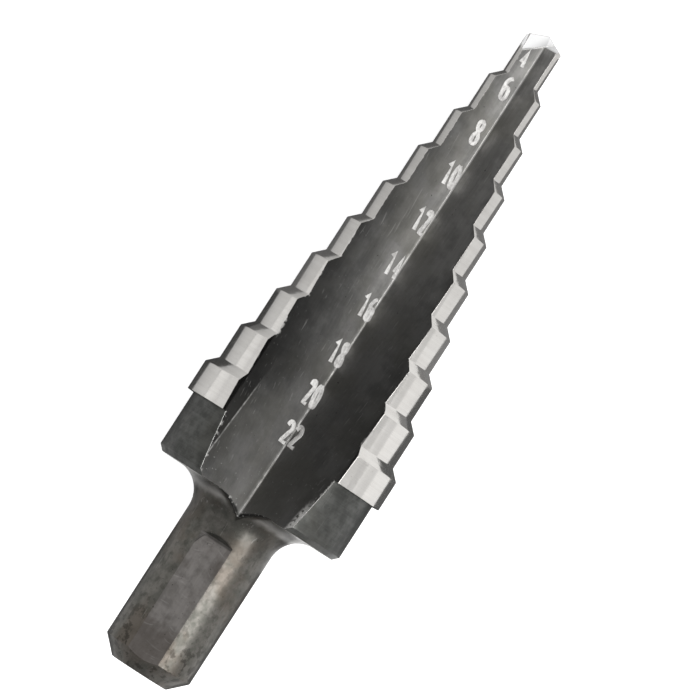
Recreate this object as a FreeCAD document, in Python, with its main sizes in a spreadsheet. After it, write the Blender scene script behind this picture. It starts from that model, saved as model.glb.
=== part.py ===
"""A ten-step drill, 4 to 22 mm, ground from one bar of tool steel.

The drill is drawn upright in its own body, point up along +Z, with its shank's end at the
origin. Its two flutes open towards +Y and -Y. It is then laid down as it comes to rest: the
lower flute's edges and the point carry it, the point looks along +X and lower than the
shank, and the surface that it lies on is z = 0.
"""
import FreeCAD, Part
import itertools
import math
import os

import Sketcher

# Driving dimensions, in millimetres and degrees
SIZES = [
    ("pilot_diameter", 4.0, "diameter of the first step, which carries the point"),
    ("pilot_length", 5.22, "first step, from its foot to the tip of the point"),
    ("step_count", 10, "number of steps"),
    ("step_growth", 2.0, "each step's diameter over the one before it"),
    ("step_pitch", 4.79, "from one step's front corner to the next one's"),
    ("step_slope", 45.0, "angle between the axis and the cone ahead of each step"),
    ("last_step_length", 3.19, "length of the largest step's cylinder"),
    ("collar_diameter", 20.6, "collar behind the largest step"),
    ("collar_length", 6.47, "length of the collar"),
    ("collar_chamfer", 0.55, "chamfer of the collar's rear edge"),
    ("neck_radius", 3.0, "fillet from the shank up to the collar's rear face"),
    ("shank_diameter", 9.5, "round shank"),
    ("shank_length", 19.25, "from the shank's end to the collar's rear face"),
    ("shank_chamfer", 1.65, "chamfer of the shank's end"),
    ("flat_count", 3, "flats that the chuck's jaws close on"),
    ("flat_depth", 0.32, "depth of a flat under the round shank"),
    ("flat_length", 14.9, "from the shank's end to where a flat starts to rise"),
    ("flat_ramp", 0.5, "length over which a flat rises to the round shank"),
    ("flat_turn", -3.5, "turn of the first flat from the upper flute's middle"),
    ("flute_count", 2, "number of flutes"),
    ("flute_angle", 103.4, "angle between a flute's two walls"),
    ("flute_offset", 0.2, "a flute's root beside the axis, towards the heel's side"),
    ("web_half", 0.26, "from the axis to a flute's root at the point"),
    ("root_radius", 0.2, "rounding of a flute's root"),
    ("flute_straight", 18.7, "straight run of the flute behind the tip"),
    ("wheel_radius", 141.3, "radius of the grinding wheel, on which the flute runs out"),
    ("wheel_width", 12.8, "width of the wheel's V, outside which its steeper sides cut"),
    ("wheel_side", 23.6, "angle between each of the wheel's sides and the flute's middle"),
    ("wheel_sweep", 30.0, "turn of the wheel's section that takes it clear of the drill"),
    ("wheel_margin", 2.0, "from the drill's largest radius to the outer end of the section"),
    ("point_angle", 135.0, "angle between the two lips"),
    ("lip_clearance", 16.7, "fall of a flank behind its lip"),
    ("notch_turn", 34.35, "turn of the thinning notch from the X direction, seen from above"),
    ("notch_rise", 35.3, "rise of the notch's bottom line towards the tip"),
    ("notch_gap", 0.18, "from the axis to the notch's bottom line"),
    ("notch_depth", 1.18, "the notch's bottom line under the tip, beside the axis"),
    ("notch_floor", 10.0, "fall of the notch's floor towards the flute"),
    ("notch_wall", 83.0, "rise of the notch's back wall"),
]

# Heights above the shank's end and radii, as formulas of the sheet's cells
SHANK_RADIUS = "Sizes.shank_diameter / 2"
COLLAR_RADIUS = "Sizes.collar_diameter / 2"
LAST_RADIUS = "(Sizes.pilot_diameter + (Sizes.step_count - 1) * Sizes.step_growth) / 2"
COLLAR_FOOT = "Sizes.shank_length"
COLLAR_TOP = "(Sizes.shank_length + Sizes.collar_length)"
LAST_CORNER = "(Sizes.shank_length + Sizes.collar_length + Sizes.last_step_length)"
CONE_LENGTH = "(Sizes.step_growth / 2 / tan(Sizes.step_slope))"
TIP = (
    "(Sizes.shank_length + Sizes.collar_length + Sizes.last_step_length"
    " + (Sizes.step_count - 2) * Sizes.step_pitch"
    " + Sizes.step_growth / 2 / tan(Sizes.step_slope) + Sizes.pilot_length)"
)
WHEEL_START = "(" + TIP + " - Sizes.flute_straight)"
CLEAR_RADIUS = "(" + LAST_RADIUS + " + Sizes.wheel_margin)"

# Corners this little under a plane count as on it, and a thinner triangle of them carries nothing
LEVEL = 0.0001
LEAST_AREA = 0.01


def value_of(name):
    """The value of one driving dimension."""
    return next(value for alias, value, _ in SIZES if alias == name)


def make_sheet(doc):
    """Write the driving dimensions into a spreadsheet, one row each, with their names."""
    sheet = doc.addObject("Spreadsheet::Sheet", "Sizes")
    for row, (alias, value, meaning) in enumerate(SIZES, start=1):
        sheet.set(f"A{row}", meaning)
        sheet.set(f"B{row}", str(value))
        sheet.setAlias(f"B{row}", alias)
    doc.recompute()
    return sheet


def origin_feature(body, role):
    """The origin plane or axis of a body that has the given role."""
    return next(item for item in body.Origin.OriginFeatures if item.Role == role)


def make_sketch(body, name, plane):
    """An empty sketch on one of the body's own origin planes."""
    sketch = body.newObject("Sketcher::SketchObject", name)
    sketch.AttachmentSupport = [(origin_feature(body, plane), "")]
    sketch.MapMode = "FlatFace"
    return sketch


def bind(sketch, constraint, name, formula):
    """Add a named dimension to a sketch and bind it to a formula of the sheet."""
    index = sketch.addConstraint(constraint)
    sketch.renameConstraint(index, name)
    sketch.setExpression("Constraints." + name, formula)


def evaluate(sheet, formula):
    """The present value of a formula of the sheet's cells."""
    return float(sheet.evalExpression(formula.replace("Sizes.", "")))


def place_corner(sketch, sheet, line, name, across, along):
    """Hold the start of a line at two distances from the sketch's origin."""
    for kind, axis, formula in (("DistanceX", -2, across), ("DistanceY", -1, along)):
        if formula == "0":
            sketch.addConstraint(Sketcher.Constraint("PointOnObject", line, 1, axis))
            continue
        distance = evaluate(sheet, formula)
        dimension = Sketcher.Constraint(kind, -1, 1, line, 1, distance)
        bind(sketch, dimension, f"{name}_{'across' if kind == 'DistanceX' else 'along'}", formula)


def draw_outline(sketch, sheet, corners):
    """Draw a closed outline of straight lines through corners held by the sheet.

    Each corner is its name and its two distances from the origin, as formulas.
    """
    points = []
    for _, across, along in corners:
        points.append(FreeCAD.Vector(evaluate(sheet, across), evaluate(sheet, along), 0))
    count = len(points)
    for index, point in enumerate(points):
        sketch.addGeometry(Part.LineSegment(point, points[(index + 1) % count]))
    for index in range(count):
        following = (index + 1) % count
        sketch.addConstraint(Sketcher.Constraint("Coincident", index, 2, following, 1))
    for index, (name, across, along) in enumerate(corners):
        place_corner(sketch, sheet, index, name, across, along)


def step_corners():
    """The corners of the stepped front, from the largest step's foot to the tip."""
    corners = []
    steps = int(value_of("step_count"))
    for order in range(steps):
        radius = f"({LAST_RADIUS} - {order} * Sizes.step_growth / 2)"
        front = f"({LAST_CORNER} + {order} * Sizes.step_pitch)"
        foot = COLLAR_TOP
        if order > 0:
            foot = f"({LAST_CORNER} + {order - 1} * Sizes.step_pitch + {CONE_LENGTH})"
        if order == steps - 1:
            front = TIP
        corners.append((f"step_{order}_foot", radius, foot))
        corners.append((f"step_{order}_front", radius, front))
    corners.append(("tip", "0", TIP))
    return corners


def turn_blank(body, sheet):
    """Turn the drill's blank: shank, neck, collar and steps in one outline."""
    corners = [
        ("end_centre", "0", "0"),
        ("end_edge", f"({SHANK_RADIUS} - Sizes.shank_chamfer)", "0"),
        ("shank_foot", SHANK_RADIUS, "Sizes.shank_chamfer"),
        ("neck_foot", SHANK_RADIUS, f"({COLLAR_FOOT} - Sizes.neck_radius)"),
        ("neck_top", f"({SHANK_RADIUS} + Sizes.neck_radius)", COLLAR_FOOT),
        ("collar_face", f"({COLLAR_RADIUS} - Sizes.collar_chamfer)", COLLAR_FOOT),
        ("collar_foot", COLLAR_RADIUS, f"({COLLAR_FOOT} + Sizes.collar_chamfer)"),
        ("collar_top", COLLAR_RADIUS, COLLAR_TOP),
    ]
    corners += step_corners()
    sketch = make_sketch(body, "BlankOutline", "XZ_Plane")
    draw_outline(sketch, sheet, corners)
    round_neck(sketch, sheet, [name for name, _, _ in corners].index("neck_foot"))
    blank = body.newObject("PartDesign::Revolution", "Blank")
    blank.Profile = sketch
    blank.ReferenceAxis = (sketch, ["V_Axis"])
    blank.Angle = 360
    return blank


def round_neck(sketch, sheet, line):
    """Set the neck's fillet in place of the straight line between its two ends."""
    sketch.setConstruction(line, True)
    radius = evaluate(sheet, "Sizes.neck_radius")
    start = sketch.getPoint(line, 1)
    centre = start + FreeCAD.Vector(radius, 0, 0)
    circle = Part.Circle(centre, FreeCAD.Vector(0, 0, 1), radius)
    arc = sketch.addGeometry(Part.ArcOfCircle(circle, math.pi / 2, math.pi))
    sketch.addConstraint(Sketcher.Constraint("Coincident", arc, 2, line, 1))
    sketch.addConstraint(Sketcher.Constraint("Coincident", arc, 1, line, 2))
    bind(sketch, Sketcher.Constraint("Radius", arc, radius), "neck_fillet", "Sizes.neck_radius")


def wheel_corners(sheet):
    """The wheel section's corners, from the root's left end round to its right end."""
    half = math.radians(value_of("flute_angle")) / 2
    side = math.radians(value_of("wheel_side"))
    rounding = value_of("root_radius")
    middle = FreeCAD.Vector(-value_of("flute_offset"), value_of("web_half") + rounding, 0)
    outer = evaluate(sheet, CLEAR_RADIUS)
    corners = []
    for way in (-1, 1):
        foot = middle + FreeCAD.Vector(way * math.cos(half), -math.sin(half), 0) * rounding
        across = value_of("wheel_width") / 2
        along = foot.y + (across - abs(foot.x - middle.x)) / math.tan(half)
        bend = FreeCAD.Vector(middle.x + way * across, along, 0)
        end = FreeCAD.Vector(bend.x + way * (outer - along) * math.tan(side), outer, 0)
        corners.append((foot, bend, end))
    return middle, corners


def draw_wheel(sketch, sheet):
    """Draw the grinding wheel's section: a V with a rounded root, then its steeper sides."""
    half = math.radians(value_of("flute_angle")) / 2
    rounding = value_of("root_radius")
    middle, corners = wheel_corners(sheet)
    circle = Part.Circle(middle, FreeCAD.Vector(0, 0, 1), rounding)
    root = sketch.addGeometry(Part.ArcOfCircle(circle, math.pi + half, 2 * math.pi - half))
    walls, sides = [], []
    for arc_end, (foot, bend, end) in enumerate(corners, start=1):
        walls.append(sketch.addGeometry(Part.LineSegment(foot, bend)))
        sides.append(sketch.addGeometry(Part.LineSegment(bend, end)))
        sketch.addConstraint(Sketcher.Constraint("Tangent", root, arc_end, walls[-1], 1))
        sketch.addConstraint(Sketcher.Constraint("Coincident", walls[-1], 2, sides[-1], 1))
    back = sketch.addGeometry(Part.LineSegment(corners[0][2], corners[1][2]))
    sketch.addConstraint(Sketcher.Constraint("Coincident", sides[0], 2, back, 1))
    sketch.addConstraint(Sketcher.Constraint("Coincident", sides[1], 2, back, 2))
    sketch.addConstraint(Sketcher.Constraint("Horizontal", back))
    sketch.addConstraint(Sketcher.Constraint("Horizontal", walls[0], 2, walls[1], 2))
    for pair, name, opening in (
        (walls, "wall_angle", "Sizes.flute_angle"),
        (sides, "side_angle", "2 * Sizes.wheel_side"),
    ):
        sketch.addConstraint(Sketcher.Constraint("Equal", *pair))
        angle = -math.radians(evaluate(sheet, opening))
        turned = Sketcher.Constraint("Angle", pair[0], 1, pair[1], 1, angle)
        bind(sketch, turned, name, "-" + opening)
    size_wheel(sketch, sheet, root, walls, back)


def size_wheel(sketch, sheet, root, walls, back):
    """Bind the wheel section's sizes and its place beside the drill's axis to the sheet."""
    for name, kind, ends, formula in (
        ("rounding", "Radius", (root,), "Sizes.root_radius"),
        ("width", "DistanceX", (walls[0], 2, walls[1], 2), "Sizes.wheel_width"),
        ("beside", "DistanceX", (-1, 1, root, 3), "-Sizes.flute_offset"),
        ("deep", "DistanceY", (-1, 1, root, 3), "Sizes.web_half + Sizes.root_radius"),
        ("outer", "DistanceY", (-1, 1, back, 1), CLEAR_RADIUS),
    ):
        dimension = Sketcher.Constraint(kind, *ends, evaluate(sheet, formula))
        bind(sketch, dimension, name, formula)


def draw_wheel_axis(sketch, sheet):
    """Draw the wheel's axis as a level construction line, a wheel's radius from the root."""
    height = evaluate(sheet, "Sizes.web_half + Sizes.wheel_radius")
    width = value_of("wheel_width")
    left = FreeCAD.Vector(-width / 2, height, 0)
    right = FreeCAD.Vector(width / 2, height, 0)
    axis = sketch.addGeometry(Part.LineSegment(left, right), True)
    sketch.addConstraint(Sketcher.Constraint("Horizontal", axis))
    for name, kind, ends, formula in (
        ("axis_left", "DistanceX", (-1, 1, axis, 1), "-Sizes.wheel_width / 2"),
        ("axis_length", "DistanceX", (axis, 1, axis, 2), "Sizes.wheel_width"),
        ("axis_height", "DistanceY", (-1, 1, axis, 1), "Sizes.web_half + Sizes.wheel_radius"),
    ):
        dimension = Sketcher.Constraint(kind, *ends, evaluate(sheet, formula))
        bind(sketch, dimension, name, formula)


def around_axis(body, name, originals, count):
    """Repeat cuts evenly around the drill's axis."""
    pattern = body.newObject("PartDesign::PolarPattern", name)
    pattern.Originals = originals
    pattern.Axis = (origin_feature(body, "Z_Axis"), [""])
    pattern.Angle = 360
    pattern.setExpression("Occurrences", count)
    body.Tip = pattern
    return pattern


def grind_flutes(body, sheet):
    """Grind the flutes: a straight V behind the point, then the wheel's own round runout."""
    sketch = make_sketch(body, "WheelSection", "XY_Plane")
    sketch.setExpression("AttachmentOffset.Base.z", WHEEL_START)
    draw_wheel(sketch, sheet)
    draw_wheel_axis(sketch, sheet)
    straight = body.newObject("PartDesign::Pocket", "FluteRun")
    straight.Profile = sketch
    straight.Reversed = True
    straight.setExpression("Length", "Sizes.flute_straight + Sizes.pilot_diameter")
    runout = body.newObject("PartDesign::Groove", "FluteRunout")
    runout.Profile = sketch
    runout.ReferenceAxis = (sketch, ["Axis0"])
    runout.setExpression("Angle", "Sizes.wheel_sweep")
    return around_axis(body, "Flutes", [straight, runout], "Sizes.flute_count")


def mill_flats(body, sheet):
    """Mill the flats of the shank, each with a short ramp at its inner end."""
    face = f"({SHANK_RADIUS} - Sizes.flat_depth)"
    outside = f"({SHANK_RADIUS} + Sizes.flat_depth)"
    ramp_end = "(Sizes.flat_length + 2 * Sizes.flat_ramp)"
    corners = [
        ("below_face", face, "-1"),
        ("below_outside", outside, "-1"),
        ("ramp_outside", outside, ramp_end),
        ("ramp_foot", face, "Sizes.flat_length"),
    ]
    sketch = make_sketch(body, "FlatOutline", "YZ_Plane")
    sketch.setExpression("AttachmentOffset.Rotation.Pitch", "Sizes.flat_turn")
    draw_outline(sketch, sheet, corners)
    flat = body.newObject("PartDesign::Pocket", "Flat")
    flat.Profile = sketch
    flat.SideType = "Symmetric"
    flat.setExpression("Length", "Sizes.shank_diameter")
    return around_axis(body, "Flats", [flat], "Sizes.flat_count")


def draw_square(sketch, sheet, size):
    """Draw a square about the sketch's origin, twice the given size across."""
    draw_outline(sketch, sheet, [
        ("lower_left", "-" + size, "-" + size),
        ("lower_right", size, "-" + size),
        ("upper_right", size, size),
        ("upper_left", "-" + size, size),
    ])


def grind_flanks(body, sheet):
    """Grind one flank behind each lip, a plane that falls outwards and away from the lip."""
    lip_slope = "(1 / tan(Sizes.point_angle / 2))"
    fall = "tan(Sizes.lip_clearance)"
    wall_turn = "(Sizes.flute_angle / 2 - 90) * 1 deg"
    sketch = make_sketch(body, "FlankPlane", "XY_Plane")
    sketch.setExpression("AttachmentOffset.Base.z", TIP)
    sketch.setExpression("AttachmentOffset.Rotation.Yaw", f"{wall_turn} + atan({fall} / {lip_slope})")
    sketch.setExpression("AttachmentOffset.Rotation.Pitch", f"atan(hypot({lip_slope}; {fall}))")
    draw_square(sketch, sheet, "Sizes.pilot_diameter")
    flank = body.newObject("PartDesign::Pocket", "Flank")
    flank.Profile = sketch
    flank.Reversed = True
    flank.setExpression("Length", "Sizes.pilot_diameter")
    return around_axis(body, "Flanks", [flank], "Sizes.flute_count")


def grind_notches(body, sheet):
    """Thin the web with one notch beside each heel, which leaves a short chisel edge."""
    width = "(2 * Sizes.pilot_diameter)"
    corners = [
        ("bottom", "0", "0"),
        ("wall_top", f"{width} / tan(Sizes.notch_wall)", width),
        ("floor_top", "-" + width, width),
        ("floor_end", "-" + width, f"-{width} * tan(Sizes.notch_floor)"),
    ]
    sketch = make_sketch(body, "NotchSection", "YZ_Plane")
    sketch.setExpression("AttachmentOffset.Base.x", "-Sizes.notch_gap * cos(Sizes.notch_turn)")
    sketch.setExpression("AttachmentOffset.Base.y", f"{TIP} - Sizes.notch_depth")
    sketch.setExpression("AttachmentOffset.Base.z", "Sizes.notch_gap * sin(Sizes.notch_turn)")
    sketch.setExpression("AttachmentOffset.Rotation.Pitch", "Sizes.notch_turn")
    sketch.setExpression("AttachmentOffset.Rotation.Roll", "-Sizes.notch_rise")
    draw_outline(sketch, sheet, corners)
    notch = body.newObject("PartDesign::Pocket", "Notch")
    notch.Profile = sketch
    notch.SideType = "Symmetric"
    notch.setExpression("Length", "4 * Sizes.pilot_diameter")
    return around_axis(body, "Notches", [notch], "Sizes.flute_count")


def build_drill(doc, sheet):
    """Build the drill upright: blank, flutes, flats and point."""
    body = doc.addObject("PartDesign::Body", "Drill")
    body.Label = "step_drill"
    volumes = []
    for make in (turn_blank, grind_flutes, mill_flats, grind_flanks, grind_notches):
        feature = make(body, sheet)
        doc.recompute()
        volumes.append(feature.Shape.Volume)
        print(f"{feature.Name}: {feature.Shape.Volume:.1f} mm3")
    for before, after in zip(volumes, volumes[1:]):
        if after >= before:
            raise RuntimeError("a cut took nothing away")
    return body


def is_over(point, triangle, up):
    """Whether a point lies straight over a triangle."""
    turns = []
    for start, end in zip(triangle, triangle[1:] + triangle[:1]):
        turns.append((end - start).cross(point - start).dot(up))
    return min(turns) > 0 or max(turns) < 0


def find_up(shape):
    """The direction that points up when the drill rests on the edges of its lower flute.

    The three corners that carry it have every other corner above their plane and the centre of
    gravity over their triangle, so at least one of them is on each side.
    """
    lower = [vertex.Point for vertex in shape.Vertexes if vertex.Y < 0]
    left = [corner for corner in lower if corner.x < 0]
    right = [corner for corner in lower if corner.x > 0]
    for first, second, third in itertools.product(left, right, lower):
        up = (second - first).cross(third - first)
        if up.Length < LEAST_AREA:
            continue
        up.normalize()
        if up.y < 0:
            up = -up
        if any((corner - first).dot(up) < -LEVEL for corner in lower):
            continue
        if is_over(shape.CenterOfGravity, [first, second, third], up):
            return up
    raise RuntimeError("the drill finds no rest on its lower flute")


def lay_down(body):
    """Lay the drill on its lower flute, its point along +X and its box's foot on the origin."""
    up = find_up(body.Shape)
    axis = FreeCAD.Vector(0, 0, 1)
    forward = (axis - up * axis.dot(up)).normalize()
    turned = FreeCAD.Rotation(forward, up.cross(forward), up, "XYZ").inverted()
    body.Placement = FreeCAD.Placement(FreeCAD.Vector(), turned)
    box = body.Shape.optimalBoundingBox(False)
    body.Placement.Base = FreeCAD.Vector(-box.Center.x, -box.Center.y, -box.ZMin)
    tilt = math.degrees(math.acos(axis.dot(forward)))
    print(f"tilt of the axis at rest: {tilt:.2f} degrees")


def check_document(doc, body):
    """Stop with a plain message if any object failed or the drill isn't one valid solid."""
    for item in doc.Objects:
        if "Invalid" in item.State or "Error" in item.State:
            raise RuntimeError(f"{item.Name} failed")
    shape = body.Shape
    if shape.isNull() or not shape.isValid() or len(shape.Solids) != 1:
        raise RuntimeError("the drill isn't one valid solid")


def main():
    """Build the drill, lay it down, check it and write its file."""
    doc = FreeCAD.newDocument("StepDrill")
    sheet = make_sheet(doc)
    body = build_drill(doc, sheet)
    lay_down(body)
    doc.recompute()
    check_document(doc, body)
    os.makedirs("parts", exist_ok=True)
    body.Shape.exportStep(f"parts/{body.Label}.step")
    print(f"volume {body.Shape.Volume:.1f} mm3, centre of gravity {body.Shape.CenterOfGravity}")


main()
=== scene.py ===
"""A ten-step drill, 4 to 22 mm, lying on a pale floor with one of its two flutes up.

The drill is seen from above, straight into that flute. Its steps and point are bare ground steel,
and its flutes, collar and shank are black oxide with stains, scratches and worn edges. White step
numbers stand in a row beside the flute's root. Lengths of the drill are millimetres in its own
upright frame: the shank's end at the origin, the point up along +Z, and the upper flute open
towards +Y.
"""
import logging
import math
from dataclasses import dataclass, field
from enum import Enum
from functools import cached_property, partial, reduce
from typing import Any

import bmesh
import bpy
from mathutils import Euler, Matrix, Vector
from mathutils.bvhtree import BVHTree


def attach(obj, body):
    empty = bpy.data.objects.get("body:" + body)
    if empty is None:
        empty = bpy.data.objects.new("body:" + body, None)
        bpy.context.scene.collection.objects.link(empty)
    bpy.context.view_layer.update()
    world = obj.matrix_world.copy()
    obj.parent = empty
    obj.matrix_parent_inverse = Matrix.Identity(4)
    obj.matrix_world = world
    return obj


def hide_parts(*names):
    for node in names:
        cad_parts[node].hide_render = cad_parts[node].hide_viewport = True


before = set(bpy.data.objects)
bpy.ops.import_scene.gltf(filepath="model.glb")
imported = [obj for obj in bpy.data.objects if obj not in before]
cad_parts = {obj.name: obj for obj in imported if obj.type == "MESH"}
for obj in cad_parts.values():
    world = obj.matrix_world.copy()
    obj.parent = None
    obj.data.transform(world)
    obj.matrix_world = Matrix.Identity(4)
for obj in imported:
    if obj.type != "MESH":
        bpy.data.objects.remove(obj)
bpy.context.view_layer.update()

MM = 0.001
NODE = "step_drill"
BODY = "root"
LOG = logging.getLogger("step_drill")

Triple = tuple[float, float, float]
Pair = tuple[float, float]
# A low and a high value, and what a ramp gives at each of them
Ramp = tuple[float, float, float, float]
# Patches of noise per millimetre, and the ramp over that noise
Patches = tuple[float, ...]
BLACK = (0.0, 0.0, 0.0)


def show(name: str, data: bpy.types.ID) -> bpy.types.Object:
    """Put a mesh, a curve, a light or a camera into the scene.

    Args:
        name: The object's name.
        data: What the object shows.

    Returns:
        The object, at the origin.
    """
    shown = bpy.data.objects.new(name, data)
    bpy.context.scene.collection.objects.link(shown)
    return shown


@dataclass(frozen=True)
class Lie:
    """How the drill lies in the row frame.

    Attributes:
        end: Centre of the shank's end, in millimetres.
        axis: Direction from the shank's end to the point.
        flute: Direction that the upper flute opens to.
    """

    end: Triple = (-35.9552, 0.0, 13.3617)
    axis: Triple = (0.985928, 0.0, -0.167170)
    flute: Triple = (0.167145, 0.017294, 0.985781)

    def matrix(self) -> Matrix:
        """Work out the drill's place.

        Returns:
            Matrix from the upright frame in millimetres to the row frame in metres.
        """
        along = Vector(self.axis).normalized()
        up = Vector(self.flute)
        up = (up - along * up.dot(along)).normalized()
        turn = Matrix((up.cross(along), up, along)).transposed().to_4x4()
        return Matrix.Translation(Vector(self.end) * MM) @ turn @ Matrix.Scale(MM, 4)

    def turn(self) -> Matrix:
        """Turn from the upright frame to the row frame."""
        return self.matrix().to_3x3().normalized()


@dataclass(frozen=True)
class Outline:
    """The drill's turned outline, in millimetres from the shank's end and from the axis."""

    shank_radius: float = 4.75
    end_chamfer: float = 1.65
    flat_distance: float = 4.43
    neck_foot: float = 16.25
    neck_radius: float = 3.0
    collar_foot: float = 19.25
    collar_top: float = 25.72
    collar_radius: float = 10.3
    last_corner: float = 28.91
    last_radius: float = 11.0
    pitch: float = 4.79
    rise: float = 1.0
    tip: float = 73.45

    def radius(self, height: float) -> float:
        """Radius of the turned outline from the collar's foot upwards.

        Args:
            height: Distance from the shank's end, in millimetres.

        Returns:
            The outline's radius at that height, in millimetres.
        """
        if height < self.collar_top:
            return self.collar_radius
        order = math.floor((height - self.last_corner) / self.pitch)
        rest = height - self.last_corner - order * self.pitch
        return self.last_radius - order * self.rise - min(rest, self.rise)


@dataclass(frozen=True)
class FluteForm:
    """The wheel's form that the flutes' walls follow.

    Attributes:
        openings: Angles of the walls and of their steeper outer parts from the flute's middle.
        root: How far the root lies beside the drill's axis, in millimetres.
        wheel_height: Height of the wheel's axis over the drill's, in millimetres.
        wheel_radius: The wheel's radius, in millimetres.
        wheel_start: Where the straight flute goes over into the round runout, in millimetres.
        own_turn: Largest turn of a facet from the wall that it belongs to, in degrees.
    """

    openings: Pair = (51.7, 23.6)
    root: float = -0.2
    wheel_height: float = 141.56
    wheel_radius: float = 141.3
    wheel_start: float = 54.75
    own_turn: float = 4.0

    def normal(self, point: Vector, facet: Vector) -> Vector:
        """The wall's own normal at a point of one of its facets.

        Args:
            point: The point in the upright frame, in millimetres.
            facet: The facet's normal there.

        Returns:
            The wall's normal, or the facet's where it isn't a wall's.
        """
        way = -1.0 if facet.y < 0 else 1.0
        inward = Vector((0.0, 1.0, 0.0))
        if point.z < self.wheel_start:
            centre = Vector((0.0, self.wheel_height, self.wheel_start))
            inward = (centre - Vector((0.0, point.y * way, point.z))).normalized()
        for opening in self.openings:
            angle = math.radians(opening)
            for side in (-1.0, 1.0):
                wall = inward * math.sin(angle) + Vector((side * math.cos(angle), 0.0, 0.0))
                wall = Vector((wall.x * way, wall.y * way, wall.z))
                if wall.angle(facet) < math.radians(self.own_turn):
                    return wall
        return facet


class Zone(Enum):
    """The differently finished surfaces of the drill, in the order of its material slots."""

    STEP = 0
    POINT = 1
    FLUTE = 2
    COLLAR = 3
    SHANK = 4
    FLAT = 5
    EDGE = 6


class Effect(Enum):
    """The effects that the finishes share, with the inputs and outputs of their node groups."""

    GRAIN = (("Place", "Stretch"), ("Tone", "Height"))
    MOTTLE = (("Place", "Size", "Level", "Edge"), ("Mask",))
    SPECKS = (("Place", "Count", "Share"), ("Mask",))
    STREAKS = (("Place", "Stretch", "Level", "Bend"), ("Mask",))
    EDGES = (("Place",), ("Rim", "Foot", "Wall"))


class Wiring:
    """Adds nodes to one node tree and joins them. Values are numbers or output sockets."""

    def __init__(self, tree: bpy.types.NodeTree) -> None:
        """Start with the tree of a material, a world or a node group."""
        self.tree = tree

    def join(self, value: Any, socket: bpy.types.NodeSocket) -> None:
        """Give an input socket its value.

        Args:
            value: A number, a colour, a vector or an output socket.
            socket: The input socket.
        """
        if isinstance(value, bpy.types.NodeSocket):
            self.tree.links.new(value, socket)
        else:
            socket.default_value = value

    def add(self, kind: str, inputs: dict | None = None, **settings: Any) -> bpy.types.Node:
        """Add a node, set it and join its inputs.

        Args:
            kind: The node's type name.
            inputs: Values or output sockets, by the input's name or number.
            settings: Properties of the node.

        Returns:
            The new node.
        """
        node = self.tree.nodes.new(kind)
        for name, value in settings.items():
            setattr(node, name, value)
        for name, value in (inputs or {}).items():
            self.join(value, node.inputs[name])
        return node

    def math(self, operation: str, *values: Any) -> Any:
        """Join values through one math node."""
        return self.add("ShaderNodeMath", dict(enumerate(values)), operation=operation).outputs[0]

    def plus(self, first: Any, second: Any) -> Any:
        """The sum of two values."""
        return self.math("ADD", first, second)

    def minus(self, first: Any, second: Any) -> Any:
        """The first value less the second."""
        return self.math("SUBTRACT", first, second)

    def times(self, *values: Any) -> Any:
        """The product of two or more values."""
        return reduce(partial(self.math, "MULTIPLY"), values)

    def most(self, *values: Any) -> Any:
        """The largest of two or more values."""
        return reduce(partial(self.math, "MAXIMUM"), values)

    def line(self, value: Any, slope: Any, start: Any) -> Any:
        """A value times a slope, plus a start."""
        return self.math("MULTIPLY_ADD", value, slope, start)

    def size(self, value: Any) -> Any:
        """A value without its sign."""
        return self.math("ABSOLUTE", value)

    def above(self, value: Any, level: Any) -> Any:
        """1 where a value is above a level, and 0 elsewhere."""
        return self.math("GREATER_THAN", value, level)

    def slant(self, first: Any, second: Any) -> Any:
        """Length of the slanted side over two square ones."""
        return self.math("SQRT", self.line(first, first, self.times(second, second)))

    def mixed(self, first: Any, share: float, second: Any) -> Any:
        """A share of the first value and the rest of the second."""
        return self.line(first, share, self.times(second, 1.0 - share))

    def ramp(self, value: Any, low: Any, high: Any, start: Any = 0.0, stop: Any = 1.0) -> Any:
        """Map a value smoothly from low and high to start and stop, and hold it beyond them."""
        inputs = dict(enumerate((value, low, high, start, stop)))
        return self.add("ShaderNodeMapRange", inputs, interpolation_type="SMOOTHSTEP").outputs[0]

    def ramp_from(self, base: float, value: Any, low: float, high: float, *ends: float) -> Any:
        """Map a value smoothly, with low and high counted from a base."""
        return self.ramp(value, base + low, base + high, *ends)

    def blend(self, factor: Any, first: Any, second: Any) -> Any:
        """Mix two colours.

        Args:
            factor: Share of the second colour.
            first: Colour or socket.
            second: Colour or socket.

        Returns:
            The mixed colour's socket.
        """
        inputs = {0: factor}
        for index, colour in ((6, first), (7, second)):
            inputs[index] = (*colour, 1.0) if isinstance(colour, tuple) else colour
        return self.add("ShaderNodeMix", inputs, data_type="RGBA").outputs[2]

    def noise(self, place: Any, scale: Any, detail: float = 3.0, rough: float = 0.55) -> Any:
        """Noise at a place, from about 0.25 to 0.75, with so many patches per unit."""
        inputs = {"Vector": place, "Scale": scale, "Detail": detail, "Roughness": rough}
        return self.add("ShaderNodeTexNoise", inputs).outputs["Fac"]

    def parts(self, vector: Any) -> Any:
        """The three parts of a vector."""
        return self.add("ShaderNodeSeparateXYZ", {0: vector}).outputs

    def grey(self, level: Any) -> Any:
        """A vector or colour with three equal parts."""
        return self.add("ShaderNodeCombineXYZ", dict.fromkeys(range(3), level)).outputs[0]

    def vector(self, operation: str, first: Any, second: Any) -> Any:
        """Join two vectors part by part."""
        inputs = {0: first, 1: second}
        return self.add("ShaderNodeVectorMath", inputs, operation=operation).outputs[0]


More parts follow.
